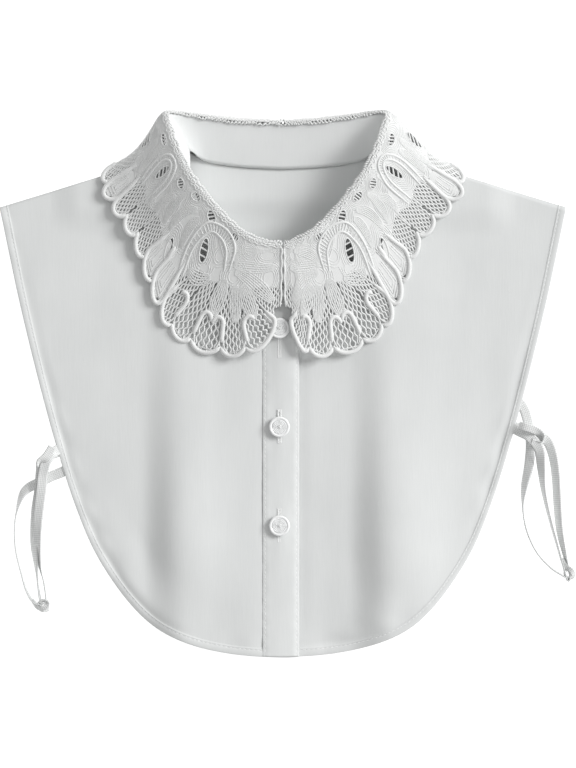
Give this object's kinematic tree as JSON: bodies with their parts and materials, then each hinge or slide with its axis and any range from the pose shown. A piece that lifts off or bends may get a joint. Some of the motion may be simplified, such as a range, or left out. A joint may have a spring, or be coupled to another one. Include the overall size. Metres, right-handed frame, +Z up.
{
  "type": "dickey",
  "caption": "White half shirt worn under a sweater: buttoned front, turned-down guipure lace collar on a stand, and an elastic tie at each open side, laid flat on its back.",
  "frame": {"origin": "on the surface that it lies on, under the middle of the cloth's box from shoulder tip to shoulder tip and from the hem to the top of the collar", "axes": "+X to the side of the front that lies under (the wearer's left), +Y from the hem to the collar, +Z up from the surface towards the fronts"},
  "size_m": [0.3705, 0.3538, 0.0314],
  "materials": {
    "cotton": "plain woven white cotton, matt",
    "lace": "white guipure lace of thick cotton thread, matt",
    "button": "clear white plastic with a faceted middle",
    "elastic": "narrow ribbed elastic"
  },
  "bodies": {
    "root": {"back": "cotton", "front_lapped": "cotton", "front_under": "cotton", "placket": "cotton", "collar_stand": "cotton", "lace_left": "lace", "lace_right": "lace", "button_low": "button", "button_middle": "button", "button_high": "button", "tie_loop_left": "elastic", "tie_tail_left": "elastic", "tie_loop_right": "elastic", "tie_tail_right": "elastic"}
  },
  "joints": []
}
